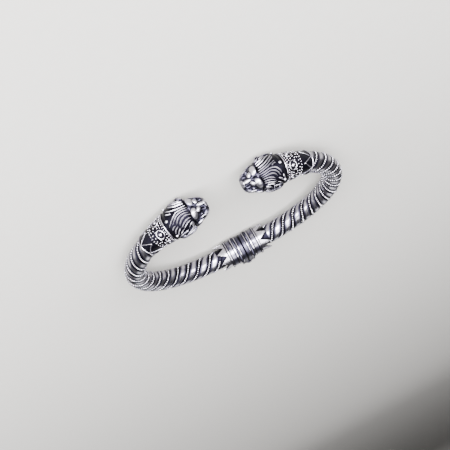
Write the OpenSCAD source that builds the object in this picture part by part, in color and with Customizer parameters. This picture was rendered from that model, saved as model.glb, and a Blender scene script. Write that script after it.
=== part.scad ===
// Hinged torc bracelet with lion-head ends.
// The ring lies on its side: +X to the right half, +Y to the opening between the heads, +Z up.
// The origin is on the floor under the middle of the bracelet.

/* [Ring path] */
// Distance from the middle of the wrist space back to the sleeve's axis
ring_back = 26; // [22:0.5:30]
// Straight stretch on each side of the hinge
straight_l = 6.5; // [5.5:0.1:8]
// First bend, beside the straight stretch: its length
bend_1_l = 17; // [14:0.1:20]
// First bend: the angle it turns through
bend_1_turn = 33; // [24:1:36]
// Second bend, the back corner: its length
bend_2_l = 16.6; // [12:0.1:18]
// Second bend: the angle it turns through
bend_2_turn = 45; // [40:1:52]
// Third bend, the side of the wrist: its length
bend_3_l = 10.4; // [9:0.1:15]
// Third bend: the angle it turns through
bend_3_turn = 26; // [16:1:32]
// Fourth bend, the front corner: its length
bend_4_l = 15.7; // [12:0.1:18]
// Fourth bend: the angle it turns through
bend_4_turn = 31; // [26:1:40]

/* [Twisted arms] */
// Radius over the smooth bands
band_r = 2.96; // [2.86:0.02:3.06]
// Radius at a band's edge
band_edge_r = 2.8; // [2.6:0.02:2.84]
// Radius at the bottom of the groove beside a wire
groove_r = 2.46; // [2.2:0.02:2.56]
// Radius over the beaded wire that stands up from each groove
wire_r = 3.16; // [3.08:0.02:3.2]
// Number of bands round the arm
bands = 3; // [3:1:6]
// Length along the arm in which a band goes once round
twist_pitch = 12.6; // [10:0.1:24]
// Turn of the left arm's twist about its axis
left_phase = 38; // [0:1:119]
// Turn of the right arm's twist about its axis
right_phase = 94; // [0:1:119]

/* [Collars] */
// Length of a collar along the ring
collar_l = 8.9; // [8.8:0.1:9.6]
// Angle that a collar turns through
collar_turn = 26; // [18:1:30]
// Radius at the narrow end, on the arm
collar_narrow_r = 3.1; // [3.1:0.05:3.4]
// Radius at the wide end, behind the head
collar_wide_r = 3.95; // [3.7:0.05:4.4]
// Height of the two rows of grains
grain_row_h = 0.34; // [0.2:0.02:0.5]
// Number of oval medallions round the collar
medallions = 6; // [5:1:8]
// Height of a medallion
medallion_h = 0.5; // [0.2:0.02:0.6]
// Length of a medallion along the collar
medallion_l = 2.5; // [2:0.1:3]
// Width of a medallion round the collar
medallion_w = 2.1; // [1.8:0.1:2.8]

/* [Heads] */
// Length of a head from collar to nose
head_l = 11.5; // [11.3:0.1:12.4]
// Angle that the head bows towards its chin
head_turn = 24; // [18:1:28]
// Angle that the right head is twisted about its own axis, towards the upper face
right_head_twist = 12; // [0:1:15]
// Height of the locks of the mane
lock_h = 0.5; // [0.2:0.02:0.6]
// Number of locks round the mane
locks = 12; // [8:4:16]

/* [Hinge sleeve] */
// Length of one half of the sleeve, from the split to its outer rim
sleeve_half_l = 5.3; // [4.9:0.1:5.6]
// Width of the split between the halves when closed
split_w = 0.3; // [0.2:0.05:0.5]
// Radius over the rims
rim_r = 4.45; // [4.2:0.05:4.6]
// Radius of the plain bands
sleeve_r = 4.15; // [4:0.05:4.3]
// Number of teeth that point along each arm
teeth = 8; // [6:1:10]
// Length of a tooth
tooth_l = 3.4; // [2.4:0.1:3.8]
// Thickness of the toothed sheet
tooth_t = 0.35; // [0.3:0.05:0.5]

/* [Hinge] */
// Distance from the sleeve's axis out to the hinge pin
pin_offset = 5; // [4.8:0.1:5.4]
// Radius of the hinge pin
pin_r = 0.45; // [0.4:0.05:0.5]
// Radial clearance of the pin in its bore
pin_gap = 0.06; // [0.04:0.01:0.1]
// Radius of the knuckles
knuckle_r = 0.9; // [0.8:0.05:1.1]
// Length of the whole row of knuckles
knuckles_l = 7.4; // [6.8:0.2:8]

/* [Hidden] */

// The ring's path from the hinge to the nose: a row for each stretch, its length and its turn
PATH = [[straight_l, 0],
        [bend_1_l, bend_1_turn],
        [bend_2_l, bend_2_turn],
        [bend_3_l, bend_3_turn],
        [bend_4_l, bend_4_turn],
        [collar_l, collar_turn],
        [head_l, head_turn]];
arm_end = straight_l + bend_1_l + bend_2_l + bend_3_l + bend_4_l;
head_start = arm_end + collar_l;

// How the bracelet rests: on both heads and on the sleeve, so the ring tips a little
head_reach = 5.2;
head_rest_y = 22.02;
rest_tilt = atan((head_reach - rim_r) / (head_rest_y + ring_back));
rest_lift = head_reach * cos(rest_tilt) - head_rest_y * sin(rest_tilt);
// The middle of the whole bracelet, front to back, in the ring's own frame
ring_middle_y = -2.52;

up = [0, 0, 1];

// Place, as [x, y, heading], after going l further with the given turn
function onward(l, turn, p) =
    abs(turn) < 0.0001
    ? [p[0] + l * cos(p[2]), p[1] + l * sin(p[2]), p[2]]
    : let (r = l / (turn * PI / 180))
      [p[0] + r * (sin(p[2] + turn) - sin(p[2])),
       p[1] + r * (cos(p[2]) - cos(p[2] + turn)),
       p[2] + turn];

// Place at distance s from the hinge along the right half
function along(s, i = 0, p = [0, -ring_back, 0]) =
    let (stretch = PATH[i])
    (s <= stretch[0] || i == len(PATH) - 1)
    ? onward(s, stretch[1] * s / stretch[0], p)
    : along(s - stretch[0], i + 1, onward(stretch[0], stretch[1], p));

// Signed distances: right of the hinge positive, left of it negative
function centre(s) = let (p = along(abs(s))) [sign(s) * p[0], p[1], 0];
function travel(s) = let (h = along(abs(s))[2]) [cos(h), sign(s) * sin(h), 0];
function outward(s) = let (t = travel(s)) [t[1], -t[0], 0];

// Point at radius r round the path, with the angle counted from outward towards up
function round_path(s, r, angle) =
    centre(s) + r * cos(angle) * outward(s) + r * sin(angle) * up;

// Smooth hill from 1 at the centre to 0 at distance w
function hill(x, w) = abs(x) < w ? pow(cos(90 * x / w), 2) : 0;
function column(table, c) = [for (row = table) [row[0], row[c]]];
function steps(from, to, n) = [for (i = [0:n]) from + (to - from) * i / n];
function reversed(list) = [for (i = [len(list) - 1:-1:0]) list[i]];

// Faces of a closed skin over rows of n points
function skin_faces(rows, n) = concat(
    [for (i = [0:rows - 2], j = [0:n - 1], half = [0, 1])
        let (a = i * n + j,
             b = a + n,
             d = i * n + (j + 1) % n,
             c = d + n)
        half == 0 ? [a, d, b] : [b, d, c]],
    [[for (j = [n - 1:-1:0]) j]],
    [[for (j = [0:n - 1]) (rows - 1) * n + j]]);

module skin(rows) {
    n = len(rows[0]);
    polyhedron([for (row = rows, point = row) point], skin_faces(len(rows), n));
}

module at_rest() {
    translate([0, -ring_middle_y, rest_lift])
        rotate([rest_tilt, 0, 0])
            children();
}

// The arm's outline from one wire to the next: share of the way round to the next and radius
BAND_OUTLINE = [[0, wire_r],
                [0.1, groove_r],
                [0.17, band_edge_r],
                [0.32, band_r],
                [0.5, band_r],
                [0.68, band_r],
                [0.83, band_edge_r],
                [0.9, groove_r]];
arm_rings = 62;

function arm_row(s) =
    let (phase = s > 0 ? right_phase : left_phase)
    [for (k = [0:bands - 1], p = BAND_OUTLINE)
        round_path(s, p[1], (k + p[0]) * 360 / bands + phase + 360 * s / twist_pitch)];

module twisted_arm(side) {
    far = side * arm_end;
    near = side * sleeve_half_l;
    color("silver")
        skin([for (s = steps(min(near, far), max(near, far), arm_rings)) arm_row(s)]);
}

// Places along a collar, from its narrow end
grain_row_1 = 4.05;
grain_row_2 = 8.05;
medallion_mid = 6.1;
wire_ring_1 = 0.3;
wire_ring_2 = 8.62;
wire_ring_w = 0.28;
narrow_wire_h = 0.16;
medallion_skirt = 1.25;
grain_row_w = 0.42;
COLLAR_STEPS = [0, 0.3, 0.6, 1.6, 2.6, 3.63, 4.05, 4.47, 5, 5.5, 6.1, 6.7, 7.2, 7.63, 8.05,
                8.34, 8.62, collar_l];
collar_sides = 48;

function medallion_at(t, angle, r) =
    let (step = 360 / medallions,
         off = angle % step - step / 2,
         x = 2 * (t - medallion_mid) / medallion_l,
         y = 2 * r * off * PI / 180 / medallion_w,
         d = norm([x, y]))
    medallion_h * hill(d, medallion_skirt);

function collar_r(t, angle) =
    let (r = collar_narrow_r + (collar_wide_r - collar_narrow_r) * t / collar_l)
    r + narrow_wire_h * hill(t - wire_ring_1, wire_ring_w)
    + grain_row_h * hill(t - grain_row_1, grain_row_w)
    + grain_row_h * hill(t - grain_row_2, grain_row_w)
    + grain_row_h * hill(t - wire_ring_2, wire_ring_w)
    + medallion_at(t, angle, r);

function collar_row(side, t) =
    [for (j = [0:collar_sides - 1])
        let (angle = 360 * j / collar_sides)
        round_path(side * (arm_end + t), collar_r(t, angle), angle)];

module collar(side) {
    places = side > 0 ? COLLAR_STEPS : reversed(COLLAR_STEPS);
    color("gray")
        skin([for (t = places) collar_row(side, t)]);
}

// The head's main form: distance from the collar, then the reach to its top, side and underside
HEAD_FORM = [[0, 3.9, 3.9, 3.9],
             [0.5, 4.15, 4.15, 4.1],
             [1, 4.5, 4.5, 4.35],
             [2.4, 4.75, 4.75, 4.45],
             [4, 4.9, 4.75, 4.4],
             [5.3, 4.8, 4.5, 4.1],
             [6.1, 4.5, 4.1, 3.7],
             [7.4, 4.05, 3.65, 3.4],
             [8.5, 3.4, 3.3, 3.15],
             [9.5, 2.9, 2.95, 2.9],
             [10.5, 2.55, 2.4, 2.55],
             [11.1, 2.05, 1.85, 2.05],
             [head_l, 1.3, 1.3, 1.3]];

// Raised and sunk forms of the face and the ears, the same on both sides:
// distance from the collar, angle from the top, reach along, reach round in degrees, height
FACE_FORMS = [[5.2, 66, 0.85, 18, 1.02],
              [6.7, 22, 1.2, 20, 0.3],
              [7.8, 12, 0.8, 14, 0.3],
              [6.9, 62, 0.9, 18, 0.25],
              [7.3, 90, 0.8, 14, 0.25],
              [8.4, 50, 0.8, 20, -0.5],
              [9.3, 0, 1.2, 24, 0.3],
              [10.4, 68, 0.9, 36, 0.3],
              [10.3, 122, 1, 14, -0.4]];
mane_from = 0.7;
mane_to = 5.9;
mane_sweep = 36;
HEAD_STEPS = [0, 0.5, 1, 1.6, 2.2, 2.8, 3.4, 4, 4.4, 4.75, 5.1, 5.5, 6, 6.5, 7, 7.5, 8, 8.5,
              9, 9.5, 10, 10.5, 11, head_l];
head_sides = 48;

function oval_r(angle, high, wide) =
    1 / sqrt(pow(cos(angle) / high, 2) + pow(sin(angle) / wide, 2));

function mane_at(a, angle) =
    let (middle = (mane_from + mane_to) / 2,
         ridge = 0.5 + 0.5 * cos(locks * angle + mane_sweep * a))
    lock_h * ridge * min(1, 2 * hill(a - middle, (mane_to - mane_from) / 2));

// The angle runs from 0 at the top of the head to 180 at its underside
function head_r(a, angle) =
    let (top = lookup(a, column(HEAD_FORM, 1)),
         beside = lookup(a, column(HEAD_FORM, 2)),
         under = lookup(a, column(HEAD_FORM, 3)),
         forms = [for (f = FACE_FORMS) f[4] * hill(a - f[0], f[2]) * hill(angle - f[1], f[3])])
    oval_r(angle, angle < 90 ? top : under, beside) + mane_at(a, angle)
    + forms * [for (f = FACE_FORMS) 1];

function head_row(side, a) =
    let (twist = side > 0 ? right_head_twist : 0)
    [for (j = [0:head_sides - 1])
        let (angle = 360 * j / head_sides)
        round_path(side * (head_start + a), head_r(a, min(angle, 360 - angle)), angle + twist)];

module lion_head(side) {
    places = side > 0 ? HEAD_STEPS : reversed(HEAD_STEPS);
    color("lightgray")
        skin([for (a = places) head_row(side, a)]);
}

// The sleeve's outline from the split to the rim: distance from the hinge and radius
split_half = split_w / 2;
rib_r = sleeve_r + 0.2;
rib_groove_r = sleeve_r - 0.05;
beaded_r = sleeve_r + 0.14;
rim_edge = 0.1;
SLEEVE_OUTLINE = [[split_half, 0],
                  [split_half, sleeve_r],
                  [1.2, sleeve_r],
                  [1.3, rib_r],
                  [1.7, rib_r],
                  [1.8, rib_groove_r],
                  [1.95, beaded_r - 0.06],
                  [2.13, beaded_r],
                  [2.31, beaded_r - 0.06],
                  [2.46, rib_groove_r],
                  [2.56, rib_r],
                  [3, rib_r],
                  [3.15, sleeve_r + 0.02],
                  [3.8, sleeve_r - 0.04],
                  [4.4, sleeve_r + 0.02],
                  [4.6, sleeve_r + 0.08],
                  [4.7, rim_r],
                  [sleeve_half_l - rim_edge, rim_r],
                  [sleeve_half_l, rim_r - rim_edge],
                  [sleeve_half_l, 0]];

// The middle knuckle is on the right half and the two outer ones on the left half
middle_knuckle_l = 2.4;
knuckle_play = 0.1;
leaf_l = 2.2;
leaf_in = 2;
// How far the leaves stay inside the pin's axis, so that they part as the hinge opens
leaf_back = 0.1;
// How far a cut runs past the metal
past = 1;

module half_sleeve_turning() {
    rotate([0, 90, 0])
        rotate_extrude($fn = 96)
            polygon([for (p = SLEEVE_OUTLINE) [p[1], p[0]]]);
}

module hinge_round(r, from, to) {
    translate([0, -pin_offset, from])
        cylinder(r = r, h = to - from, $fn = 64);
}

module hinge_leaf() {
    translate([split_half, leaf_back - pin_offset, -knuckles_l / 2])
        cube([leaf_l - split_half, pin_offset - leaf_back - leaf_in, knuckles_l]);
}

module hinge_sleeve_right() {
    inner = middle_knuckle_l / 2;
    outer = knuckles_l / 2;
    color("silver")
        translate([0, -ring_back, 0])
            difference() {
                union() {
                    half_sleeve_turning();
                    hinge_leaf();
                    hinge_round(knuckle_r, -inner, inner);
                }
                hinge_round(knuckle_r + knuckle_play, inner, outer + past);
                hinge_round(knuckle_r + knuckle_play, -outer - past, -inner);
                hinge_round(pin_r + pin_gap, -outer - past, outer + past);
            }
}

module hinge_sleeve_left() {
    inner = middle_knuckle_l / 2 + knuckle_play;
    outer = knuckles_l / 2;
    color("silver")
        translate([0, -ring_back, 0])
            difference() {
                union() {
                    mirror([1, 0, 0]) {
                        half_sleeve_turning();
                        hinge_leaf();
                    }
                    hinge_round(knuckle_r, inner, outer);
                    hinge_round(knuckle_r, -outer, -inner);
                }
                hinge_round(knuckle_r + knuckle_play, -inner, inner);
                hinge_round(pin_r + pin_gap, -outer - past, outer + past);
            }
}

module hinge_pin() {
    outer = knuckles_l / 2;
    rivet_r = 0.72;
    rivet_l = 0.2;
    overlap = 0.05;
    color("darkgray")
        translate([0, -ring_back, 0]) {
            hinge_round(pin_r, -outer - overlap, outer + overlap);
            hinge_round(rivet_r, outer, outer + rivet_l);
            hinge_round(rivet_r, -outer - rivet_l, -outer);
        }
}

crown_r = 3.45;
crown_flare = 0.45;
crown_band = 0.3;

module crown_wall() {
    rotate([0, 90, 0])
        rotate_extrude($fn = 96)
            polygon([[crown_r, sleeve_half_l],
                     [crown_r + tooth_t, sleeve_half_l],
                     [crown_r + tooth_t + crown_flare, sleeve_half_l + tooth_l],
                     [crown_r + crown_flare, sleeve_half_l + tooth_l]]);
}

module notch(angle) {
    half_w = (crown_r + tooth_t + crown_flare) * tan(180 / teeth);
    rotate([angle, 0, 0])
        linear_extrude(rim_r + past)
            polygon([[sleeve_half_l + crown_band, 0],
                     [sleeve_half_l + tooth_l, half_w],
                     [sleeve_half_l + tooth_l + past, half_w],
                     [sleeve_half_l + tooth_l + past, -half_w],
                     [sleeve_half_l + tooth_l, -half_w]]);
}

module tooth_crown(side) {
    color("gainsboro")
        translate([0, -ring_back, 0])
            mirror([side > 0 ? 0 : 1, 0, 0])
                difference() {
                    crown_wall();
                    for (k = [0:teeth - 1])
                        notch((k + 0.5) * 360 / teeth);
                }
}

at_rest() hinge_sleeve_left();
at_rest() hinge_sleeve_right();
at_rest() hinge_pin();
at_rest() tooth_crown(-1);  // tooth_crown_left
at_rest() tooth_crown(1);  // tooth_crown_right
at_rest() twisted_arm(-1);  // twisted_arm_left
at_rest() twisted_arm(1);  // twisted_arm_right
at_rest() collar(-1);  // collar_left
at_rest() collar(1);  // collar_right
at_rest() lion_head(-1);  // lion_head_left
at_rest() lion_head(1);  // lion_head_right
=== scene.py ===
"""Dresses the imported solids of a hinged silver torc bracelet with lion-head ends."""

import logging
import math
from dataclasses import dataclass, field
from enum import Enum
from typing import ClassVar

import bpy
import numpy as np
from bpy.types import Material, Node, NodeSocket, NodeTree, Object
from mathutils import Matrix, Vector


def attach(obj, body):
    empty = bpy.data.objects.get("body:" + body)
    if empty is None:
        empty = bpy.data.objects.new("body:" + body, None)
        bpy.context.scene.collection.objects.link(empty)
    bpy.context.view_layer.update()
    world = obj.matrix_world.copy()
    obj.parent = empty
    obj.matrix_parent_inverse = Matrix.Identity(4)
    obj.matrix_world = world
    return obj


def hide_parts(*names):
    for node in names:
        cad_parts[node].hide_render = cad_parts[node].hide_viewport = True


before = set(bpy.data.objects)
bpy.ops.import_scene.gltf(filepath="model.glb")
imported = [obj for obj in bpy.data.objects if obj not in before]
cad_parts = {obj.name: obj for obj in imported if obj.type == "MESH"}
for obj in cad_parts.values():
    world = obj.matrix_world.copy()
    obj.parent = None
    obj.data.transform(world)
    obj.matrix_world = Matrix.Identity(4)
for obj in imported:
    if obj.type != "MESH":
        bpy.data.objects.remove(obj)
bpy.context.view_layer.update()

Pair = tuple[float, float]
Triple = tuple[float, float, float]

LOG = logging.getLogger("torc")
MM = 0.001
TARNISH = "tarnish"
# Tarnish half way up a wire and a grain, and how much less of it their crests have
WIRE_FLANK = 0.3
GRAIN_FLANK = 0.1
CREST_POLISH = 0.9
# Faces that meet at more than this keep a sharp edge
SHARP = math.radians(50)


class Side(Enum):
    """The two halves of the bracelet; the value is the sign of a place along the ring."""

    LEFT = -1
    RIGHT = 1

    @property
    def word(self) -> str:
        """The half's name as the nodes spell it."""
        return self.name.lower()

    @property
    def body(self) -> str:
        """The frame's body that this half rides on."""
        return f"{self.word}_half"


def srgb(code: str) -> tuple[float, float, float, float]:
    """Turns an sRGB hex colour into Blender's linear colour.

    Args:
        code: the colour as "#RRGGBB".

    Returns:
        Linear red, green, blue and an alpha of 1.
    """
    parts = [int(code[i : i + 2], 16) / 255 for i in (1, 3, 5)]
    linear = [p / 12.92 if p <= 0.04045 else ((p + 0.055) / 1.055) ** 2.4 for p in parts]
    return linear[0], linear[1], linear[2], 1.0


def hill(x: np.ndarray, width: float) -> np.ndarray:
    """A smooth hill: 1 at x = 0 and 0 from the given distance on."""
    return np.cos(np.clip(np.abs(x) / width, 0, 1) * math.pi / 2) ** 2


def smooth(x: np.ndarray, low: float, high: float) -> np.ndarray:
    """A smooth step from 0 at low to 1 at high."""
    t = np.clip((x - low) / (high - low), 0, 1)
    return t * t * (3 - 2 * t)


@dataclass(frozen=True)
class RingPath:
    """The line that the metal follows, in millimetres, the same as the solids' own."""

    # Length and turn in degrees of each stretch, from the hinge to the tip of the muzzle
    stretches: tuple[Pair, ...] = (
        (6.5, 0.0),
        (17.0, 33.0),
        (16.6, 45.0),
        (10.4, 26.0),
        (15.7, 31.0),
        (8.9, 26.0),
        (11.5, 24.0),
    )
    # From the ring's own origin back to the middle of the sleeve, and to the middle of the piece
    ring_back: float = 26.0
    middle_y: float = -2.52
    # How far down a head reaches and where, and the radius of the sleeve's rim: it rests on these
    head_reach: float = 5.2
    head_rest_y: float = 22.02
    rim_r: float = 4.45

    @property
    def arm_end(self) -> float:
        """Distance from the hinge to where the collar begins."""
        return sum(length for length, _ in self.stretches[:5])

    @property
    def head_start(self) -> float:
        """Distance from the hinge to where the head begins."""
        return self.arm_end + self.stretches[5][0]

    @property
    def tilt(self) -> float:
        """How far the ring tips as it rests on its heads and its sleeve, in radians."""
        return math.atan((self.head_reach - self.rim_r) / (self.head_rest_y + self.ring_back))

    def axes(self, side: Side, s: np.ndarray) -> tuple[np.ndarray, np.ndarray]:
        """Finds the ring's middle line and which way is out.

        Args:
            side: which half.
            s: distances from the hinge.

        Returns:
            The centre and the direction away from the wrist.
        """
        x = np.zeros_like(s)
        y = np.full_like(s, -self.ring_back)
        heading = np.zeros_like(s)
        begin, h0 = 0.0, 0.0
        for i, (length, turn) in enumerate(self.stretches):
            d = np.clip(s - begin, 0, None if i == len(self.stretches) - 1 else length)
            rate = math.radians(turn) / length
            if rate == 0:
                x += d * math.cos(h0)
                y += d * math.sin(h0)
            else:
                x += (np.sin(h0 + rate * d) - math.sin(h0)) / rate
                y += (math.cos(h0) - np.cos(h0 + rate * d)) / rate
            heading += rate * d
            begin += length
            h0 += rate * length
        zero = np.zeros_like(s)
        centre = np.stack([side.value * x, y, zero], -1)
        out = np.stack([side.value * np.sin(heading), -np.cos(heading), zero], -1)
        return centre, out

    def round(self, side: Side, s: np.ndarray, r: np.ndarray, angle: np.ndarray) -> np.ndarray:
        """Places points round the ring's middle line.

        Args:
            side: which half.
            s: distances from the hinge.
            r: distances from the middle line.
            angle: degrees from the outside of the ring towards its upper face.

        Returns:
            Points in the ring's own frame.
        """
        s, r, angle = np.broadcast_arrays(np.asarray(s, float), r, np.radians(angle))
        centre, out = self.axes(side, s)
        up = np.array([0.0, 0.0, 1.0])
        return centre + (r * np.cos(angle))[..., None] * out + (r * np.sin(angle))[..., None] * up

    def raised(
        self, side: Side, s: np.ndarray, r: np.ndarray, angle: np.ndarray
    ) -> tuple[np.ndarray, np.ndarray]:
        """Gives round()'s points and, for each, the direction away from the metal below."""
        points = self.round(side, s, r, angle)
        return points, self.round(side, s, r + 1, angle) - points

    def to_row(self, points: np.ndarray) -> np.ndarray:
        """Moves points to where the bracelet rests.

        Args:
            points: places in the ring's own frame, in mm.

        Returns:
            The same places in the row frame, in metres.
        """
        c, s = math.cos(self.tilt), math.sin(self.tilt)
        lift = self.head_reach * c - self.head_rest_y * s
        x, y, z = points[..., 0], points[..., 1], points[..., 2]
        return np.stack([x, y * c - z * s - self.middle_y, y * s + z * c + lift], -1) * MM


RING = RingPath()


@dataclass
class Shape:
    """Vertices in the ring's frame, faces and how black each vertex is."""

    verts: list[np.ndarray] = field(default_factory=list)
    faces: list[list[int]] = field(default_factory=list)
    dark: list[np.ndarray] = field(default_factory=list)
    count: int = 0

    def add(self, verts: np.ndarray, faces: list[list[int]], dark: np.ndarray) -> None:
        """Adds a part.

        Args:
            verts: its vertices, one in each row.
            faces: its faces, counted from its own first vertex.
            dark: its tarnish from 0, polished, to 1, black.
        """
        self.verts.append(verts)
        self.dark.append(dark)
        self.faces.extend([[i + self.count for i in f] for f in faces])
        self.count += len(verts)

    def add_grid(self, points: np.ndarray, dark: np.ndarray, flip: bool) -> None:
        """Adds a skin over a grid of points that closes round its second direction.

        Args:
            points: rows along the piece and columns round it.
            dark: tarnish of each point.
            flip: whether the rows run against the ring's own direction.
        """
        rows, cols = points.shape[:2]
        i, j = np.meshgrid(np.arange(rows - 1), np.arange(cols), indexing="ij")
        a = i * cols + j
        d = i * cols + (j + 1) % cols
        quads = np.stack([a, a + cols, d + cols, d], -1).reshape(-1, 4)
        first = list(range(cols))
        last = [(rows - 1) * cols + k for k in range(cols)]
        if flip:
            faces = quads[:, ::-1].tolist() + [first, last[::-1]]
        else:
            faces = quads.tolist() + [first[::-1], last]
        self.add(points.reshape(-1, 3), faces, np.broadcast_to(dark, points.shape[:2]).ravel())

    def add_wire(
        self,
        points: np.ndarray,
        up: np.ndarray,
        width: np.ndarray | float,
        height: np.ndarray | float,
        sides: int = 8,
        film: float = 0.0,
    ) -> None:
        """Adds a wire or a strand of hair, an oval swept along a line, black low on its flanks.

        Args:
            points: the line.
            up: the direction away from the metal below, at each point.
            width: half the oval's width at each point.
            height: half its height at each point.
            sides: corners of the oval.
            film: painted shade laid all over it, darkening it as if it lay in shadow.
        """
        n = len(points)
        run = np.gradient(points, axis=0)
        run /= np.linalg.norm(run, axis=1, keepdims=True)
        across = np.cross(run, up)
        across /= np.linalg.norm(across, axis=1, keepdims=True)
        rise = np.cross(across, run)
        t = np.arange(sides) * 2 * math.pi / sides
        wide = np.broadcast_to(width, (n,))[:, None] * np.cos(t)
        high = np.broadcast_to(height, (n,))[:, None] * np.sin(t)
        ring = points[:, None] + wide[..., None] * across[:, None] + high[..., None] * rise[:, None]
        # film adds painted shade evenly all round the wire
        dark = np.clip(WIRE_FLANK + film - CREST_POLISH * np.sin(t), 0, 1)
        self.add_grid(ring, np.broadcast_to(dark, (n, sides)), flip=False)

    def add_balls(self, centres: np.ndarray, up: np.ndarray, radius: float, segments: int = 8) -> None:
        """Adds round grains, black low on their flanks.

        Args:
            centres: their middles.
            up: the direction away from the metal below, for each.
            radius: their radius.
            segments: corners round each grain.
        """
        rows = segments // 2
        lat = np.linspace(-math.pi / 2, math.pi / 2, rows + 1)[1:-1]
        lon = np.arange(segments) * 2 * math.pi / segments
        la, lo = np.meshgrid(lat, lon, indexing="ij")
        unit = np.stack([np.cos(la) * np.cos(lo), np.cos(la) * np.sin(lo), np.sin(la)], -1)
        unit = np.vstack([unit.reshape(-1, 3), [[0, 0, -1], [0, 0, 1]]])
        south, north = len(unit) - 2, len(unit) - 1
        faces: list[list[int]] = []
        for j in range(segments):
            k = (j + 1) % segments
            faces.append([south, k, j])
            faces.append([north, (rows - 2) * segments + j, (rows - 2) * segments + k])
            for i in range(rows - 2):
                a, b = i * segments + j, i * segments + k
                faces.append([a, b, b + segments, a + segments])
        dark = np.clip(GRAIN_FLANK - CREST_POLISH * np.einsum("nk,mk->nm", up, unit), 0, 1)
        for centre, shade in zip(centres, dark):
            self.add(centre + radius * unit, faces, shade)

    def build(self, name: str) -> Object:
        """Makes the Blender object, in the row frame.

        Args:
            name: its name.

        Returns:
            The object, with each vertex's tarnish kept in its mesh.
        """
        mesh = bpy.data.meshes.new(name)
        verts = RING.to_row(np.concatenate(self.verts))
        mesh.from_pydata(verts.tolist(), [], self.faces)
        mesh.attributes.new(TARNISH, "FLOAT", "POINT").data.foreach_set(
            "value", np.concatenate(self.dark).astype(np.float32)
        )
        mesh.shade_smooth()
        mesh.set_sharp_from_angle(angle=SHARP)
        mesh.update()
        piece = bpy.data.objects.new(name, mesh)
        bpy.context.scene.collection.objects.link(piece)
        return piece


def place(piece: Object, body: str, slot: str, metal: Material) -> None:
    """Dresses a new piece, and makes it ride on its half.

    Args:
        piece: the object.
        body: the frame's body.
        slot: the record's material slot; not used.
        metal: its material.
    """
    piece.data.materials.append(metal)
    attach(piece, body)
    LOG.info("%s: %d faces", piece.name, len(piece.data.polygons))


def add_node(
    tree: NodeTree,
    kind: str,
    settings: dict[str | int, object],
    links: dict[str | int, NodeSocket],
) -> Node:
    """Adds a shader node.

    Args:
        tree: the material's or world's node tree.
        kind: the node's type name.
        settings: values for its properties, or for its inputs by name or number.
        links: the output that feeds each named or numbered input.

    Returns:
        The new node.
    """
    node = tree.nodes.new(kind)
    for key, value in settings.items():
        if isinstance(key, int) or key in node.inputs:
            node.inputs[key].default_value = value
        else:
            setattr(node, key, value)
    for key, output in links.items():
        tree.links.new(output, node.inputs[key])
    return node


def combine(tree: NodeTree, operation: str, a: NodeSocket, b: NodeSocket) -> NodeSocket:
    """Adds a math node on two outputs, and gives its own output."""
    return add_node(tree, "ShaderNodeMath", {"operation": operation}, {0: a, 1: b}).outputs["Value"]


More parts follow.
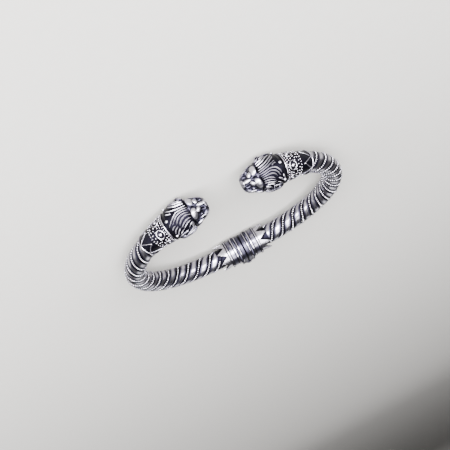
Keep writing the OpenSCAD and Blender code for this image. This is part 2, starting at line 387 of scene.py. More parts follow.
@dataclass(frozen=True)
class OxidisedSilver:
    """Sterling silver, blackened with sulphide and polished back on its high spots.

    The black stays in every groove, so each raised form has a dark line round it.
    """

    name: str
    # The high spots, a little darker than newly polished sterling
    bright: str = "#A5A2AB"
    # Worn grey film on the half-high places
    film: str = "#454352"
    # Silver sulphide: nearly black
    black: str = "#0E0D14"
    # How far the polish goes and where the film is fullest, from 0, polished, to 1, black
    polished_to: float = 0.3
    film_at: float = 0.52
    # Roughness of the polished and of the black metal, and the tarnish from which it grows
    polish: float = 0.17
    matt: float = 0.5
    rough_from: float = 0.2
    # How far a groove's walls shade it, in mm, and how open it is where the black begins and is full
    groove_mm: float = 0.6
    groove_from: float = 0.62
    groove_full: float = 0.22
    # Size of the patches of film, in mm
    patch_mm: float = 1.5
    patch_strength: float = 0.6
    # Spacing of the polishing marks, in mm: real ones are finer, and would not show
    mark_mm: float = 0.22
    mark_depth_mm: float = 0.006
    mark_strength: float = 0.5
    # How black the turned grooves are: distances from the hinge's middle in mm, and tarnish
    grooves: tuple[Pair, ...] = ()
    # The distance that the whole ramp of grooves stands for, in mm
    span: float = 8.0
    # Where the turned part ends in Y and the hinge's knuckles begin, in mm
    turned_to: float = -27.95
    turned_fade: float = 0.1

    def grooved(self, tree: NodeTree, place_of: NodeSocket) -> NodeSocket:
        """Works out how black the turned grooves are.

        Args:
            tree: the material's nodes.
            place_of: the place on the piece.

        Returns:
            The output that gives 1 in a groove and 0 on a polished rib.
        """
        split = add_node(tree, "ShaderNodeSeparateXYZ", {}, {"Vector": place_of})
        away = add_node(tree, "ShaderNodeMath", {"operation": "ABSOLUTE"}, {0: split.outputs["X"]})
        share = add_node(
            tree,
            "ShaderNodeMath",
            {"operation": "MULTIPLY", 1: 1 / (self.span * MM)},
            {0: away.outputs["Value"]},
        )
        ramp = add_node(tree, "ShaderNodeValToRGB", {}, {"Fac": share.outputs["Value"]})
        stops = ramp.color_ramp.elements
        for stop, (_, value) in zip((stops[0], stops[1]), (self.grooves[0], self.grooves[-1])):
            stop.color = (value, value, value, 1)
        for place, value in self.grooves[1:]:
            stops.new(place / self.span).color = (value, value, value, 1)
        inside = add_node(
            tree,
            "ShaderNodeMapRange",
            {"From Min": (self.turned_to - self.turned_fade) * MM, "From Max": self.turned_to * MM},
            {"Value": split.outputs["Y"]},
        )
        return combine(tree, "MULTIPLY", ramp.outputs["Color"], inside.outputs["Result"])

    def build(self) -> Material:
        """Makes the material.

        Returns:
            The material, whose colour and gloss follow its grooves and the mesh's own tarnish.
        """
        material = bpy.data.materials.new(self.name)
        material.use_nodes = True
        tree = material.node_tree
        shader = tree.nodes["Principled BSDF"]
        shader.inputs["Metallic"].default_value = 1.0
        place_of = add_node(tree, "ShaderNodeTexCoord", {}, {}).outputs["Object"]
        patches, marks = (
            add_node(
                tree,
                "ShaderNodeTexNoise",
                {"Scale": 1 / (size * MM), "Detail": detail},
                {"Vector": place_of},
            )
            for size, detail in ((self.patch_mm, 3.0), (self.mark_mm, 2.0))
        )
        given = add_node(tree, "ShaderNodeAttribute", {"attribute_name": TARNISH}, {})
        shade = add_node(
            tree, "ShaderNodeAmbientOcclusion", {"samples": 8, "Distance": self.groove_mm * MM}, {}
        )
        groove = add_node(
            tree,
            "ShaderNodeMapRange",
            {"From Min": self.groove_from, "From Max": self.groove_full},
            {"Value": shade.outputs["AO"]},
        )
        both = combine(tree, "MAXIMUM", given.outputs["Fac"], groove.outputs["Result"])
        if self.grooves:
            both = combine(tree, "MAXIMUM", both, self.grooved(tree, place_of))
        uneven = add_node(
            tree,
            "ShaderNodeMath",
            {"operation": "MULTIPLY_ADD", 1: self.patch_strength},
            {0: patches.outputs["Fac"], 2: both},
        )
        ramp = add_node(tree, "ShaderNodeValToRGB", {}, {"Fac": uneven.outputs["Value"]})
        stops = ramp.color_ramp.elements
        stops[0].position = self.polished_to
        stops[0].color = srgb(self.bright)
        stops[1].color = srgb(self.black)
        stops.new(self.film_at).color = srgb(self.film)
        gloss = add_node(
            tree,
            "ShaderNodeMapRange",
            {"From Min": self.rough_from, "To Min": self.polish, "To Max": self.matt},
            {"Value": uneven.outputs["Value"]},
        )
        bump = add_node(
            tree,
            "ShaderNodeBump",
            {"Strength": self.mark_strength, "Distance": self.mark_depth_mm * MM},
            {"Height": marks.outputs["Fac"]},
        )
        tree.links.new(ramp.outputs["Color"], shader.inputs["Base Color"])
        tree.links.new(gloss.outputs["Result"], shader.inputs["Roughness"])
        tree.links.new(bump.outputs["Normal"], shader.inputs["Normal"])
        return material


@dataclass
class TwistedArm:
    """Three smooth bands twisted together, with a proud beaded wire in each groove."""

    side: Side
    metal: Material
    phase: float
    bands: int = 3
    pitch: float = 12.6
    start: float = 5.3
    band_r: float = 2.96
    edge_r: float = 2.78
    groove_r: float = 2.42
    wire_line_r: float = 2.88
    bead_r: float = 0.285
    bead_pitch: float = 0.66
    row_step: float = 0.25
    # The teeth of the crown keep the arm black up to here, and how softly that ends
    crown_to: float = 8.8
    crown_fade: float = 0.3
    into_collar: float = 0.1
    # Distances across half a band from the middle of a wire, in mm
    columns: tuple[float, ...] = (0.0, 0.25, 0.38, 0.48, 0.58, 0.68, 0.85, 1.1, 1.4, 1.72)
    # Along them: the foot and the top of the groove's wall
    wall: Pair = (0.38, 0.66)
    # Along them: where the black begins to thin, is half gone and is gone
    fade: Triple = (0.62, 0.86, 1.38)

    @property
    def lead(self) -> float:
        """Angle between a wire and a ring square to the arm, in radians."""
        return math.atan(self.pitch / (2 * math.pi * self.wire_line_r))

    @property
    def half_band(self) -> float:
        """Half the distance from wire to wire, square to them."""
        return math.pi * self.wire_line_r / self.bands * math.sin(self.lead)

    def turn_at(self, s: np.ndarray) -> np.ndarray:
        """The twist's angle at a distance from the hinge, in degrees."""
        return self.phase + 360 * self.side.value * s / self.pitch

    def profile(self) -> tuple[np.ndarray, np.ndarray, np.ndarray]:
        """Works out one band's outline.

        Returns:
            Shares of the way from wire to wire, radii and tarnish.
        """
        d = np.array(self.columns) * self.half_band / self.columns[-1]
        rise = smooth(d, *self.wall)
        crown = np.sqrt(np.clip(1 - ((self.half_band - d) / self.half_band) ** 2, 0, 1))
        r = self.groove_r + rise * (self.edge_r - self.groove_r + crown * (self.band_r - self.edge_r))
        share = d / (2 * self.half_band)
        full, half, gone = self.fade
        dark = 1 - (smooth(d, full, half) + smooth(d, half, gone)) / 2
        back = slice(-2, 0, -1)
        return np.append(share, 1 - share[back]), np.append(r, r[back]), np.append(dark, dark[back])

    def build(self) -> None:
        """Builds the bands and the beaded wires."""
        share, r, dark = self.profile()
        rows = int((RING.arm_end - self.start) / self.row_step)
        s = np.linspace(self.start, RING.arm_end + self.into_collar, rows)
        step = 360 / self.bands
        angle = np.concatenate([(k + share) * step for k in range(self.bands)])
        turned = angle[None] + self.turn_at(s)[:, None]
        grid = RING.round(self.side, s[:, None], np.tile(r, self.bands)[None], turned)
        shaded = 1 - smooth(s, self.crown_to - self.crown_fade, self.crown_to + self.crown_fade)
        dark = np.maximum(np.tile(dark, self.bands)[None], shaded[:, None])
        shape = Shape()
        shape.add_grid(grid, dark, flip=self.side is Side.LEFT)
        spacing = self.bead_pitch * math.sin(self.lead)
        beads = np.arange(self.crown_to, RING.arm_end - self.into_collar, spacing)
        for k in range(self.bands):
            turned = k * step + self.turn_at(beads)
            centres, up = RING.raised(self.side, beads, self.wire_line_r, turned)
            shape.add_balls(centres, up, self.bead_r)
        piece = shape.build(f"arm_{self.side.word}")
        place(piece, self.side.body, "twisted_silver", self.metal)
        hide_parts(f"twisted_arm_{self.side.word}")


@dataclass
class Collar:
    """A blackened cone with ring wires, grains, oval medallions and a zigzag of wire."""

    side: Side
    metal: Material
    shape: Shape = field(default_factory=Shape)
    length: float = 8.9
    narrow_r: float = 3.1
    wide_r: float = 3.95
    rows: int = 40
    columns: int = 72
    repeats: int = 6
    first_medallion: float = 28.0
    zigzag_from: float = 0.35
    zigzag_to: float = 3.15
    # Turn of the zigzag's narrow points from the medallions, as a share of a repeat
    zigzag_turn: float = -0.4
    row_1: float = 4.3
    row_1_grains: int = 30
    row_2: float = 8.12
    row_2_grains: int = 34
    row_turn: float = -2.0
    medallion_at: float = 6.75
    # Half the medallion's frame along and round the cone
    frame_half: Pair = (0.96, 1.25)
    # Half its boss along and round the cone, its height, and how far its foot lies inside
    boss_half: Pair = (0.5, 0.56)
    boss_h: float = 0.5
    boss_sunk: float = 0.05
    boss_rows: int = 7
    # The boss's tarnish falls evenly from 1 at its foot to this far below 0, cut off at 0
    boss_polish: float = 1.6
    end_wire: float = 0.17
    ring_wire: float = 8.62
    # How far a wire's or a grain's middle stands off the cone, as a share of its radius
    stand: float = 0.5
    grain_r: float = 0.2
    point_grain_r: float = 0.25
    ring_wire_r: float = 0.18
    frame_wire_r: float = 0.16
    zigzag_wire_r: float = 0.11
    # Points along a frame and a zigzag's leg, corners round a boss and a grain
    frame_points: int = 29
    leg_points: int = 12
    boss_columns: int = 20
    grain_sides: int = 10
    # Grains round each medallion: distance from the narrow end and degrees from its middle
    beside: tuple[Pair, ...] = (
        (5.15, 0), (4.9, -15), (4.9, 15), (5.95, -19.5), (5.95, 19.5),
        (5.0, 30), (5.65, 30), (6.9, 30), (7.5, 25), (7.5, 35),
    )

    def ground_r(self, t: np.ndarray | float) -> np.ndarray | float:
        """The cone's radius at a distance from its narrow end."""
        return self.narrow_r + (self.wide_r - self.narrow_r) * t / self.length

    def wire(self, t: np.ndarray, angle: np.ndarray, r: float, closed: bool) -> None:
        """Solders a wire on the cone.

        Args:
            t: distances from the narrow end.
            angle: degrees round the cone.
            r: the wire's radius.
            closed: whether the line comes back to its start.
        """
        if closed:
            t = np.append(t, t[1])
            angle = np.append(angle, angle[1])
        points, up = RING.raised(self.side, RING.arm_end + t, self.ground_r(t) + self.stand * r, angle)
        self.shape.add_wire(points, up, r, r)

    def grains(self, t: np.ndarray, angle: np.ndarray, r: float) -> None:
        """Solders grains of radius r on the cone, at the same kind of places as a wire's."""
        points, up = RING.raised(self.side, RING.arm_end + t, self.ground_r(t) + self.stand * r, angle)
        self.shape.add_balls(points, up, r, self.grain_sides)

    def medallion(self, angle: float) -> None:
        """Adds a round frame of wire and the domed boss inside it.

        Args:
            angle: its middle, in degrees round the cone.
        """
        r = self.ground_r(self.medallion_at)
        degrees_per_mm = math.degrees(1 / r)
        turn = np.linspace(0, 2 * math.pi, self.frame_points)
        along, around = self.frame_half
        t = self.medallion_at + along * np.cos(turn)
        turned = angle + around * np.sin(turn) * degrees_per_mm
        self.wire(t, turned, self.frame_wire_r, closed=True)
        rows = np.linspace(0, math.pi / 2, self.boss_rows)[:, None]
        ring = np.arange(self.boss_columns)[None] * 2 * math.pi / self.boss_columns
        along, around = self.boss_half
        dome_t = self.medallion_at + along * np.sin(rows) * np.cos(ring)
        dome_a = angle + around * np.sin(rows) * np.sin(ring) * degrees_per_mm
        dome_r = r - self.boss_sunk + self.boss_h * np.cos(rows)
        grid = RING.round(self.side, RING.arm_end + dome_t, dome_r, dome_a)[::-1]
        dark = np.clip(np.linspace(1, -self.boss_polish, self.boss_rows), 0, 1)
        self.shape.add_grid(grid, dark[:, None], flip=self.side is Side.RIGHT)

    def build(self) -> None:
        """Builds the cone and all that is soldered on it."""
        t = np.linspace(0, self.length, self.rows)[:, None]
        full = np.arange(self.columns + 1) * 360 / self.columns
        grid = RING.round(self.side, RING.arm_end + t, self.ground_r(t), full[None, :-1])
        self.shape.add_grid(grid, np.ones((1, 1)), flip=self.side is Side.LEFT)
        for wire_t, r in ((self.end_wire, self.frame_wire_r), (self.ring_wire, self.ring_wire_r)):
            self.wire(np.full_like(full, wire_t), full, r, closed=True)
        for row_t, count in ((self.row_1, self.row_1_grains), (self.row_2, self.row_2_grains)):
            turned = np.arange(count) * 360 / count + self.row_turn
            self.grains(np.full(count, row_t), turned, self.grain_r)
        step = 360 / self.repeats
        leg = np.linspace(0, 1, self.leg_points)
        legs_t = self.zigzag_from + (self.zigzag_to - self.zigzag_from) * leg
        for k in range(self.repeats):
            middle = self.first_medallion + k * step
            self.medallion(middle)
            around = np.array(self.beside)
            self.grains(around[:, 0], middle + around[:, 1], self.grain_r)
            apex = middle + self.zigzag_turn * step
            for half in (-step / 2, step / 2):
                self.wire(legs_t, apex + half * leg, self.zigzag_wire_r, closed=False)
            wide_point = np.array([apex + step / 2])
            self.grains(np.array([self.zigzag_to]), wide_point, self.point_grain_r)
        piece = self.shape.build(f"collar_cone_{self.side.word}")
        place(piece, self.side.body, "granulated_silver", self.metal)
        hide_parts(f"collar_{self.side.word}")


@dataclass(frozen=True)
class Relief:
    """An oval form on both sides of the face; lean 0 lies along the head and 90 round it."""

    at: float
    turn: float
    length: float
    width: float
    lean: float
    height: float

    def reach(self, a: np.ndarray, u: np.ndarray, r: np.ndarray) -> np.ndarray:
        """Works out how far places are from the form's middle.

        Args:
            a: distances from the collar.
            u: degrees from the middle of the face.
            r: the head's radius there.

        Returns:
            0 at the middle and 1 on the outline.
        """
        x = a - self.at
        y = r * np.radians(u - self.turn)
        c, s = math.cos(math.radians(self.lean)), math.sin(math.radians(self.lean))
        return np.hypot((c * x + s * y) / self.length, (c * y - s * x) / self.width)

    def on(self, a: np.ndarray, u: np.ndarray, r: np.ndarray) -> np.ndarray:
        """Works out the form's height over the head, from the same places as reach()."""
        d = self.reach(a, u, r)
        return self.height * (np.clip(1 - d * d, 0, 1) if self.height > 0 else hill(d, 1.0))


# The mane is cut by hand and differs from head to head. Each row is one strand: pairs of the
# distance from the collar and the degrees from the middle of the face, from face to collar.
LEFT_STRANDS = (
    (5.7, -47, 4.9, -46, 3.6, -57, 2.4, -67),
    (6.1, -35, 5.1, -35, 4.0, -40, 2.7, -52),
    (6.2, -23, 5.3, -23, 4.3, -25, 3.4, -32, 2.4, -43),
    (6.4, -13, 5.2, -11, 4.1, -13, 2.9, -18, 1.6, -30),
    (2.7, -9, 2.1, -13, 1.3, -19),
    (6.5, -3, 5.5, -4, 4.9, -4, 3.8, -3, 2.9, 4, 1.9, 13, 0.9, 24),
    (6.5, 5, 5.5, 3, 4.6, 3, 3.7, 6, 2.8, 14, 1.9, 23),
    (6.45, 14, 5.5, 10.5, 4.55, 11, 3.8, 15, 3.05, 24, 2.65, 31),
    (6.7, 24, 5.8, 19, 4.9, 20, 3.9, 27, 3.2, 37),
    (6.3, 32, 5.4, 31, 4.4, 36, 3.3, 46),
    (6.0, 40, 5.1, 42, 4.2, 48, 3.2, 58),
    (2.4, 30, 1.8, 32, 1.1, 39),
    (2.8, 36, 1.9, 42, 1.1, 55),
    (3.0, 44, 2.4, 50, 1.5, 63),
    (3.6, 54, 2.8, 58, 1.8, 70),
)
RIGHT_STRANDS = (
    (5.2, -54, 4.7, -56, 4.1, -60, 3.0, -70),
    (6.2, -42, 5.3, -43, 4.5, -47, 3.4, -58),
    (6.3, -31, 5.5, -31, 4.6, -35, 3.5, -46, 2.4, -57),
    (6.2, -21, 5.6, -20, 4.3, -25, 2.8, -38, 1.9, -50),
    (6.5, -12, 5.6, -12, 4.2, -17, 3.0, -27, 1.9, -39),
    (6.7, -4, 5.6, -6, 4.2, -10, 3.1, -16, 2.0, -23),
    (3.1, -9, 2.5, -13, 2.0, -13),
    (6.7, 3, 5.2, 1, 3.8, -2, 2.5, 2, 1.8, 14, 1.5, 24),
    (6.5, 10, 5.2, 7.5, 4.0, 5, 3.0, 10, 2.3, 21, 2.1, 30),
    (6.3, 16, 4.9, 14, 3.95, 14.5, 3.2, 20, 2.8, 28),
    (6.2, 22.5, 5.2, 21.5, 4.2, 25, 3.4, 34),
    (6.2, 29.5, 5.0, 29.5, 4.1, 34, 3.2, 44),
    (6.2, 36.5, 4.9, 38, 3.8, 44, 3.0, 53),
    (6.0, 44, 4.8, 46, 3.6, 54),
    (2.6, 35, 2.0, 42, 1.4, 52),
    (3.0, 48, 2.2, 55, 1.5, 65),
    (1.3, 30, 1.1, 40, 0.9, 52),
)


@dataclass
class LionHead:
    """A cast lion's head: a mane of long curved locks, two ears and a heavy-browed face."""

    side: Side
    metal: Material
    # Turn of the whole head about its axis
    twist: float
    # Strands over the top of the head, each a row of places: distance from the collar, degrees
    strands: tuple[tuple[float, ...], ...]
    # The degrees between which those strands lie
    drawn: Pair
    shape: Shape = field(default_factory=Shape)
    # Distance from the collar, then the reach to the top, the side and the underside
    form: tuple[tuple[float, float, float, float], ...] = (
        (0.0, 3.9, 3.9, 3.9),
        (0.5, 4.15, 4.15, 4.1),
        (1.0, 4.5, 4.5, 4.35),
        (2.4, 4.75, 4.75, 4.45),
        (4.0, 4.9, 4.75, 4.4),
        (5.3, 4.8, 4.5, 4.1),
        (6.1, 4.5, 4.1, 3.7),
        (7.4, 4.05, 3.65, 3.4),
        (8.5, 3.4, 3.3, 3.15),
        (9.5, 2.9, 2.95, 2.9),
        (10.5, 2.55, 2.4, 2.55),
        (11.1, 2.05, 1.85, 2.05),
        (11.5, 1.3, 1.3, 1.3),
    )
    reliefs: tuple[Relief, ...] = (
        # Furrow behind the brow
        Relief(6.5, 26, 2.6, 0.42, 96, -0.5),
        Relief(6.75, 62, 1.6, 0.36, 82, -0.4),
        # Brow and temple, then the lobe in front of it
        Relief(7.45, 29, 1.75, 0.95, 98, 0.6),
        Relief(8.8, 22, 0.95, 0.6, 100, 0.56),
        # Furrow in the middle of the forehead
        Relief(7.9, 0, 1.0, 0.3, 0, -0.3),
        # Eye: socket, ball and lower lid
        Relief(9.35, 42, 1.15, 0.8, 25, -0.7),
        Relief(9.15, 47, 0.42, 0.4, 20, 0.55),
        Relief(9.1, 63, 1.0, 0.26, 4, 0.32),
        # Cheek
        Relief(8.0, 80, 1.25, 0.42, 0, 0.5),
        Relief(8.1, 67, 1.0, 0.26, 0, -0.35),
        Relief(7.4, 102, 1.1, 0.6, 10, 0.35),
        # Bridge and tip of the nose, and the hollow beside it
        Relief(9.95, 0, 1.45, 0.62, 0, 0.4),
        Relief(9.85, 26, 0.8, 0.5, 10, -0.5),
        Relief(11.0, 0, 0.62, 1.35, 0, 0.4),
        Relief(11.1, 50, 0.36, 0.36, 0, -0.6),
        # Pad of the muzzle, its pits and the mouth under it
        Relief(10.4, 70, 1.0, 1.1, 0, 0.4),
        Relief(10.0, 66, 0.2, 0.2, 0, -0.35),
        Relief(10.45, 60, 0.18, 0.18, 0, -0.3),
        Relief(10.1, 82, 0.18, 0.18, 0, -0.3),
        Relief(10.6, 76, 0.18, 0.18, 0, -0.3),
        Relief(10.45, 112, 1.3, 0.28, 8, -0.55),
        Relief(10.4, 150, 1.0, 1.5, 0, 0.3),
    )
    ear_leaf: Relief = Relief(5.5, 59.0, 1.5, 0.85, 124, 0.92)
    ear_hollow: Relief = Relief(5.25, 59.0, 1.1, 0.5, 124, -0.75)
    # Shares of the ear's outline between which it falls to the head
    ear_edge: Pair = (0.7, 1.1)
    # Rows and columns of the skin's mesh, and the dome that closes it at the muzzle
    skin_rows: int = 190
    skin_columns: int = 252
    dome_from: float = 11.15
    dome_depth: float = 0.4
    dome_rows: int = 12
    # Shares of the dome's quarter turn at its first and its last ring
    dome_span: Pair = (0.1, 0.97)
    # Where the black ground of the mane ends, and how softly
    mane_to: float = 6.35
    mane_fade: float = 0.4
    # How often a copy of the form is softened, and how far below that copy a hollow is black
    softened: int = 12
    hollow_depth: float = 0.035
    # Tarnish left on the low parts of the face, and the heights between which it thins
    low_film: float = 0.42
    low_heights: Pair = (0.05, 0.3)
    # Heights between which an ear goes from black to its polished rim
    rim_heights: Pair = (0.6, 0.85)
    # Painted shade: film laid over the even locks round the rest of the head, darkening them as if
    # they lay in shadow
    locks_painted_shade: float = 0.55
    # Half the width of a strand: a share of the way to the next one, within these limits
    share: float = 0.28
    finest: float = 0.08
    widest: float = 0.26
    strand_h: float = 0.36
    strand_lift: float = 0.1
    strand_rows: int = 26
    # How suddenly a strand thins at the face and at its tip, and the squares of its full and its
    # least width, as shares
    face_taper: float = 5.0
    tip_taper: float = 2.6
    full: float = 1.03
    least: float = 0.08
    # The even locks: degrees between them, where they begin and end, and the curl at each place
    lock_step: float = 9.0
    lock_from: float = 6.2
    lock_from_ear: float = 4.3
    ear_span: float = 15.0
    lock_ends: Pair = (1.2, 3.0)
    lock_curl: tuple[float, ...] = (0, 1, 6, 13)
    # How far the middle places of a lock lie from its middle and its end
    lock_bow: float = 0.5
    lock_hook: float = 0.6
    # The lock below every shorter one: distances from the collar and curl
    low_lock: tuple[Pair, ...] = ((2.8, 5), (2.0, 8), (1.1, 16))
    # The round studs between the mane and the collar
    studs: int = 6
    stud_turn: float = 4.0
    stud_at: float = 1.05
    stud_lift: float = 0.2
    stud_r: float = 0.42
    stud_sides: int = 14

    def ground(self, a: np.ndarray, u: np.ndarray) -> np.ndarray:
        """Works out the plain form, without mane or features.

        Args:
            a: distances from the collar.
            u: degrees from the middle of the face.

        Returns:
            Its radius there.
        """
        table = np.array(self.form)
        top, beside, under = (np.interp(a, table[:, 0], table[:, i]) for i in (1, 2, 3))
        c, s = np.cos(np.radians(u)), np.sin(np.radians(u))
        return 1 / np.sqrt((c / np.where(c > 0, top, under)) ** 2 + (s / beside) ** 2)

    def ear(self, a: np.ndarray, u: np.ndarray, r: np.ndarray) -> np.ndarray:
        """The height of an ear: a leaf with a hollow behind its front rim."""
        leaf = self.ear_leaf.height * (1 - smooth(self.ear_leaf.reach(a, u, r), *self.ear_edge))
        return leaf + self.ear_hollow.on(a, u, r)

    def skin(self) -> None:
        """Adds the face and the ground under the mane."""
        dome = np.linspace(*self.dome_span, self.dome_rows) * math.pi / 2
        along = np.linspace(0, self.dome_from, self.skin_rows)
        a = np.append(along, self.dome_from + self.dome_depth * np.sin(dome))
        shrink = np.append(np.ones_like(along), np.cos(dome))
        angle = np.arange(self.skin_columns) * 360 / self.skin_columns
        aa, uu = np.meshgrid(a, angle, indexing="ij")
        base = self.ground(np.minimum(aa, self.dome_from), uu)
        u = np.abs((uu + 180) % 360 - 180)
        ears = self.ear(aa, u, base)
        rise = sum(form.on(aa, u, base) for form in self.reliefs) + ears
        r = (base + rise) * shrink[:, None]
        soft = rise
        for _ in range(self.softened):
            ends = np.vstack([soft[:1], soft[:-1]]) + np.vstack([soft[1:], soft[-1:]])
            soft = (np.roll(soft, 1, 1) + np.roll(soft, -1, 1) + ends) / 4
        hollow = np.clip((soft - rise) / self.hollow_depth, 0, 1)
        low = self.low_film * (1 - smooth(rise, *self.low_heights))
        mane = 1 - smooth(aa, self.mane_to, self.mane_to + self.mane_fade)
        mane *= 1 - smooth(ears, *self.rim_heights)
        dark = np.clip(np.maximum(low + hollow, mane), 0, 1)
        grid = RING.round(self.side, RING.head_start + aa, r, uu + self.twist)
        self.shape.add_grid(grid, dark, flip=self.side is Side.LEFT)

    def path(self, places: np.ndarray) -> np.ndarray:
        """Draws a Catmull-Rom curve, which passes through all of a strand's places.

        Args:
            places: rows of a distance from the collar and degrees from the middle.

        Returns:
            Rows of the same kind along the curve.
        """
        knots = len(places) - 1
        p = np.vstack([2 * places[0] - places[1], places, 2 * places[-1] - places[-2]])
        t = np.linspace(0, knots, self.strand_rows)
        i = np.minimum(t.astype(int), knots - 1)
        f = (t - i)[:, None]
        p0, p1, p2, p3 = p[i], p[i + 1], p[i + 2], p[i + 3]
        square = p0 - 2.5 * p1 + 2 * p2 - p3 / 2
        cube = 1.5 * (p1 - p2) + (p3 - p0) / 2
        return p1 + f * ((p2 - p0) / 2 + f * (square + f * cube))

    def strand(self, path: np.ndarray, width: np.ndarray, film: float) -> None:
        """Adds a strand of hair along a line, thin at both ends.

        Args:
            path: its points, each a distance from the collar and degrees from the middle.
            width: half its width at each point.
            film: painted shade laid all over it, darkening it as if it lay in shadow.
        """
        t = np.linspace(0, 1, len(path))
        face = (1 - 2 * np.minimum(t, 0.5)) ** self.face_taper
        tip = (2 * np.maximum(t, 0.5) - 1) ** self.tip_taper
        taper = np.sqrt(np.clip(self.full - np.where(t < 0.5, face, tip), self.least, 1))
        r = self.ground(path[:, 0], path[:, 1]) + self.strand_lift
        points, up = RING.raised(self.side, RING.head_start + path[:, 0], r, path[:, 1] + self.twist)
        height = self.strand_h * np.sqrt(width / self.widest)
        self.shape.add_wire(points, up, width * taper, height * taper, film=film)

    def mane(self) -> None:
        """Adds the drawn strands and even locks round the rest, each as wide as its room allows."""
        lines = [np.array(line, float).reshape(-1, 2) for line in self.strands]
        low, high = self.drawn
        for k, u in enumerate(np.arange(high, low + 360, self.lock_step)):
            way = 1 if u < 180 else -1
            end = self.lock_ends[k % 2]
            from_ear = abs(abs((u + 180) % 360 - 180) - self.ear_leaf.turn)
            begin = self.lock_from_ear if from_ear < self.ear_span else self.lock_from
            places = (begin, (begin + end) / 2 + self.lock_bow, end + self.lock_hook, end)
            lines.append(np.array([(a, u + way * curl) for a, curl in zip(places, self.lock_curl)]))
            if k % 2:
                lines.append(np.array([(a, u + way * curl) for a, curl in self.low_lock]))
        paths = [self.path(line) for line in lines]
        flat = []
        for a, u in (path.T for path in paths):
            flat.append(np.column_stack([a, np.radians(u) * self.ground(a, u)]))
        for k, path in enumerate(paths):
            others = np.concatenate(flat[:k] + flat[k + 1 :])
            room = np.linalg.norm(flat[k][:, None] - others[None], axis=2).min(1)
            # The even locks get painted shade all over, as if they lay in shadow; the drawn strands
            # get none
            film = 0.0 if k < len(self.strands) else self.locks_painted_shade
            self.strand(path, np.clip(self.share * room, self.finest, self.widest), film)

    def add_studs(self) -> None:
        """Adds the round studs between the mane and the collar."""
        angle = np.arange(self.studs) * 360 / self.studs + self.stud_turn
        a = np.full(self.studs, self.stud_at)
        lift = self.ground(a, angle) + self.stud_lift
        points, up = RING.raised(self.side, RING.head_start + a, lift, angle)
        self.shape.add_balls(points, up, self.stud_r, self.stud_sides)

    def build(self) -> None:
        """Builds the whole head."""
        self.skin()
        self.mane()
        self.add_studs()
        piece = self.shape.build(f"lion_{self.side.word}")
        place(piece, self.side.body, "cast_silver", self.metal)
        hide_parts(f"lion_head_{self.side.word}")


@dataclass
class HingeSleeve:
    """One turned half of the sleeve, with a twisted wire in its groove, and its crown of teeth."""

    side: Side
    metal: Material
    sheet: Material
    # Distance along the sleeve and tarnish. Each row is a black groove, then what stands beyond
    # it: a plain band, a rib, the wire, a rib, a broad band and the rim
    grooves: ClassVar[tuple[Pair, ...]] = (
        (0.0, 1.0), (0.2, 1.0), (0.32, 0.4), (1.08, 0.4),
        (1.18, 1.0), (1.32, 1.0), (1.42, 0.0), (1.58, 0.0),
        (1.68, 1.0), (1.88, 1.0), (1.96, 0.3), (2.3, 0.3),
        (2.4, 1.0), (2.56, 1.0), (2.64, 0.0), (2.92, 0.0),
        (3.0, 1.0), (3.22, 1.0), (3.34, 0.2), (4.42, 0.2),
        (4.52, 1.0), (4.72, 1.0), (4.82, 0.0), (5.04, 0.0),
        (5.14, 1.0),
    )
    wire_at: float = 2.13
    wire_line_r: float = 4.17
    strand_r: float = 0.15
    # How far each strand lies from the wire's middle, as a share of its radius
    nest: float = 0.8
    # Length of one turn of the two strands
    lay: float = 1.1
    wire_points: int = 241

    def build(self) -> None:
        """Dresses the half sleeve and its crown, and lays the twisted wire."""
        word = self.side.word
        for node, metal in ((f"hinge_sleeve_{word}", self.metal), (f"tooth_crown_{word}", self.sheet)):
            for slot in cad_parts[node].material_slots:
                slot.material = metal
        angle = np.linspace(0, 360, self.wire_points)
        turns = round(2 * math.pi * self.wire_line_r / self.lay)
        spin = turns * np.radians(angle)
        shape = Shape()
        for start in (0.0, math.pi):
            s = self.wire_at + self.strand_r * self.nest * np.cos(spin + start)
            r = self.wire_line_r + self.strand_r * self.nest * np.sin(spin + start)
            points, up = RING.raised(self.side, s, r, angle)
            shape.add_wire(points, up, self.strand_r, self.strand_r, sides=6)
        piece = shape.build(f"sleeve_wire_{word}")
        place(piece, self.side.body, "turned_silver", self.metal)


@dataclass(frozen=True)
class Softbox:
    """A soft studio light that faces the bracelet, in degrees, metres and watts."""

    name: str
    azimuth: float
    elevation: float
    distance: float
    width: float
    height: float
    power: float

    def build(self, target: Vector) -> None:
        """Hangs the light.

        Args:
            target: the point it faces.
        """
        az, el = math.radians(self.azimuth), math.radians(self.elevation)
        way = Vector((math.cos(el) * math.cos(az), math.cos(el) * math.sin(az), math.sin(el)))
        data = bpy.data.lights.new(self.name, "AREA")
        data.shape = "RECTANGLE"
        data.size, data.size_y = self.width, self.height
        data.energy = self.power
        lamp = bpy.data.objects.new(self.name, data)
        lamp.location = target + way * self.distance
        lamp.rotation_euler = way.to_track_quat("Z", "Y").to_euler()
        bpy.context.scene.collection.objects.link(lamp)


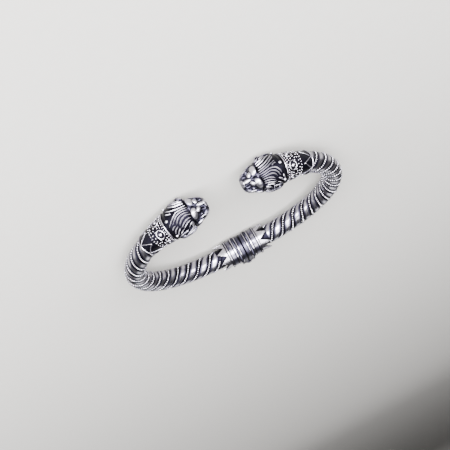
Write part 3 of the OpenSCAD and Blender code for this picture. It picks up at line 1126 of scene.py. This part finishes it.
@dataclass
class Studio:
    """The floor, the lights and the camera."""

    # Camera in the ring's own frame, in mm: its place, what it aims at and its upright
    eye: Triple = (-13.45, 246.66, 85.88)
    aim: Triple = (-2.8, 2.78, 0.72)
    upright: Triple = (0.466, 0.3135, -0.8275)
    lens: float = 72.5
    # Warm grey paper without shine, and its fibres, coarser than real ones, which would not show
    paper: str = "#A09E9B"
    fibre: str = "#9C9A97"
    fibre_mm: float = 3.0
    paper_roughness: float = 0.85
    # The paper in metres: how far it lies flat, the radius of its bend and how high it goes
    flat: float = 2.4
    bend: float = 0.6
    high: float = 2.5
    # Corners round the paper, and points up its bend
    around: int = 48
    bend_points: int = 9
    sky: str = "#C9CBD1"
    sky_strength: float = 0.14
    # What the lights face, in mm
    lit: Triple = (0.0, 0.0, 5.0)
    boxes: tuple[Softbox, ...] = (
        Softbox("front_box", 94, 14, 0.6, 0.56, 0.26, 37.0),
        Softbox("right_box", 44, 11, 0.6, 0.36, 0.2, 8.5),
        Softbox("left_box", 146, 11, 0.6, 0.38, 0.2, 11.0),
        Softbox("top_box", 94, 50, 0.55, 0.7, 0.42, 14.0),
        Softbox("back_box", 270, 30, 0.7, 0.5, 0.3, 1.2),
    )

    def camera(self) -> None:
        """Sets up the camera."""
        points = RING.to_row(np.array([self.eye, self.aim, (0, 0, 0), self.upright]))
        eye, aim = Vector(points[0]), Vector(points[1])
        back = (eye - aim).normalized()
        right = Vector(points[3] - points[2]).cross(back).normalized()
        up = back.cross(right)
        data = bpy.data.cameras.new("camera")
        data.lens = self.lens
        data.clip_start = 0.01
        data.clip_end = 50.0
        camera = bpy.data.objects.new("camera", data)
        camera.matrix_world = Matrix.Translation(eye) @ Matrix((right, up, back)).transposed().to_4x4()
        bpy.context.scene.collection.objects.link(camera)
        bpy.context.scene.camera = camera

    def floor(self) -> None:
        """Lays pale paper that sweeps up far away, all round."""
        around = self.around
        turn = np.linspace(0, math.pi / 2, self.bend_points)
        r = np.append(self.flat + self.bend * np.sin(turn), self.flat + self.bend)[:, None]
        z = np.append(self.bend * (1 - np.cos(turn)), self.high)[:, None]
        angle = np.arange(around) * 2 * math.pi / around
        rings = np.stack([r * np.cos(angle), r * np.sin(angle), np.repeat(z, around, 1)], -1)
        faces = [list(range(around))]
        for i in range(len(r) - 1):
            low, high = i * around, (i + 1) * around
            for j in range(around):
                k = (j + 1) % around
                faces.append([low + k, low + j, high + j, high + k])
        mesh = bpy.data.meshes.new("paper_sweep")
        mesh.from_pydata(rings.reshape(-1, 3).tolist(), [], faces)
        mesh.shade_smooth()
        floor = bpy.data.objects.new("paper_sweep", mesh)
        bpy.context.scene.collection.objects.link(floor)
        material = bpy.data.materials.new("uncoated backdrop paper")
        material.use_nodes = True
        tree = material.node_tree
        shader = tree.nodes["Principled BSDF"]
        shader.inputs["Roughness"].default_value = self.paper_roughness
        where = add_node(tree, "ShaderNodeTexCoord", {}, {}).outputs["Object"]
        fibre = add_node(
            tree,
            "ShaderNodeTexNoise",
            {"Scale": 1 / (self.fibre_mm * MM), "Detail": 2.0},
            {"Vector": where},
        )
        tone = add_node(tree, "ShaderNodeValToRGB", {}, {"Fac": fibre.outputs["Fac"]})
        tone.color_ramp.elements[0].color = srgb(self.fibre)
        tone.color_ramp.elements[1].color = srgb(self.paper)
        tree.links.new(tone.outputs["Color"], shader.inputs["Base Color"])
        mesh.materials.append(material)

    def build(self) -> None:
        """Sets the whole studio."""
        world = bpy.data.worlds.new("studio")
        world.use_nodes = True
        background = world.node_tree.nodes["Background"].inputs
        background["Color"].default_value = srgb(self.sky)
        background["Strength"].default_value = self.sky_strength
        bpy.context.scene.world = world
        self.floor()
        for box in self.boxes:
            box.build(Vector(self.lit) * MM)
        self.camera()


def main() -> None:
    """Builds the bracelet's pieces in order, then the studio."""
    logging.basicConfig(level=logging.INFO, format="%(message)s")
    # Drawn and twisted: long soft highlights on the bands, and sparkle on the beads
    twisted = OxidisedSilver("twisted sterling silver, oxidised and polished", polish=0.22).build()
    # Turned: bright ribs between sharp black rings
    turned = OxidisedSilver(
        "turned sterling silver, oxidised and polished", polish=0.15, grooves=HingeSleeve.grooves
    ).build()
    # Cut from flat sheet: each tooth is bright or dark as a whole
    sheet = OxidisedSilver(
        "cut sterling sheet, oxidised and polished", polish=0.2, groove_mm=0.4
    ).build()
    # Granulated: polish reaches only the tops of grains and wires, over a black ground
    soldered = OxidisedSilver("granulated sterling silver on a blackened ground").build()
    # Cast: a slightly grainy skin, so that the highlights are broad and soft
    cast = OxidisedSilver("cast sterling silver, oxidised and polished", polish=0.3).build()
    for side, phase, twist, strands, drawn in (
        (Side.LEFT, 38.0, 0.0, LEFT_STRANDS, (-62.0, 66.0)),
        (Side.RIGHT, 94.0, 12.0, RIGHT_STRANDS, (-66.0, 58.0)),
    ):
        HingeSleeve(side, turned, sheet).build()
        TwistedArm(side, twisted, phase).build()
        Collar(side, soldered).build()
        LionHead(side, cast, twist, strands, drawn).build()
    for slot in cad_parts["hinge_pin"].material_slots:
        slot.material = turned
    Studio().build()


if __name__ == "__main__":
    main()
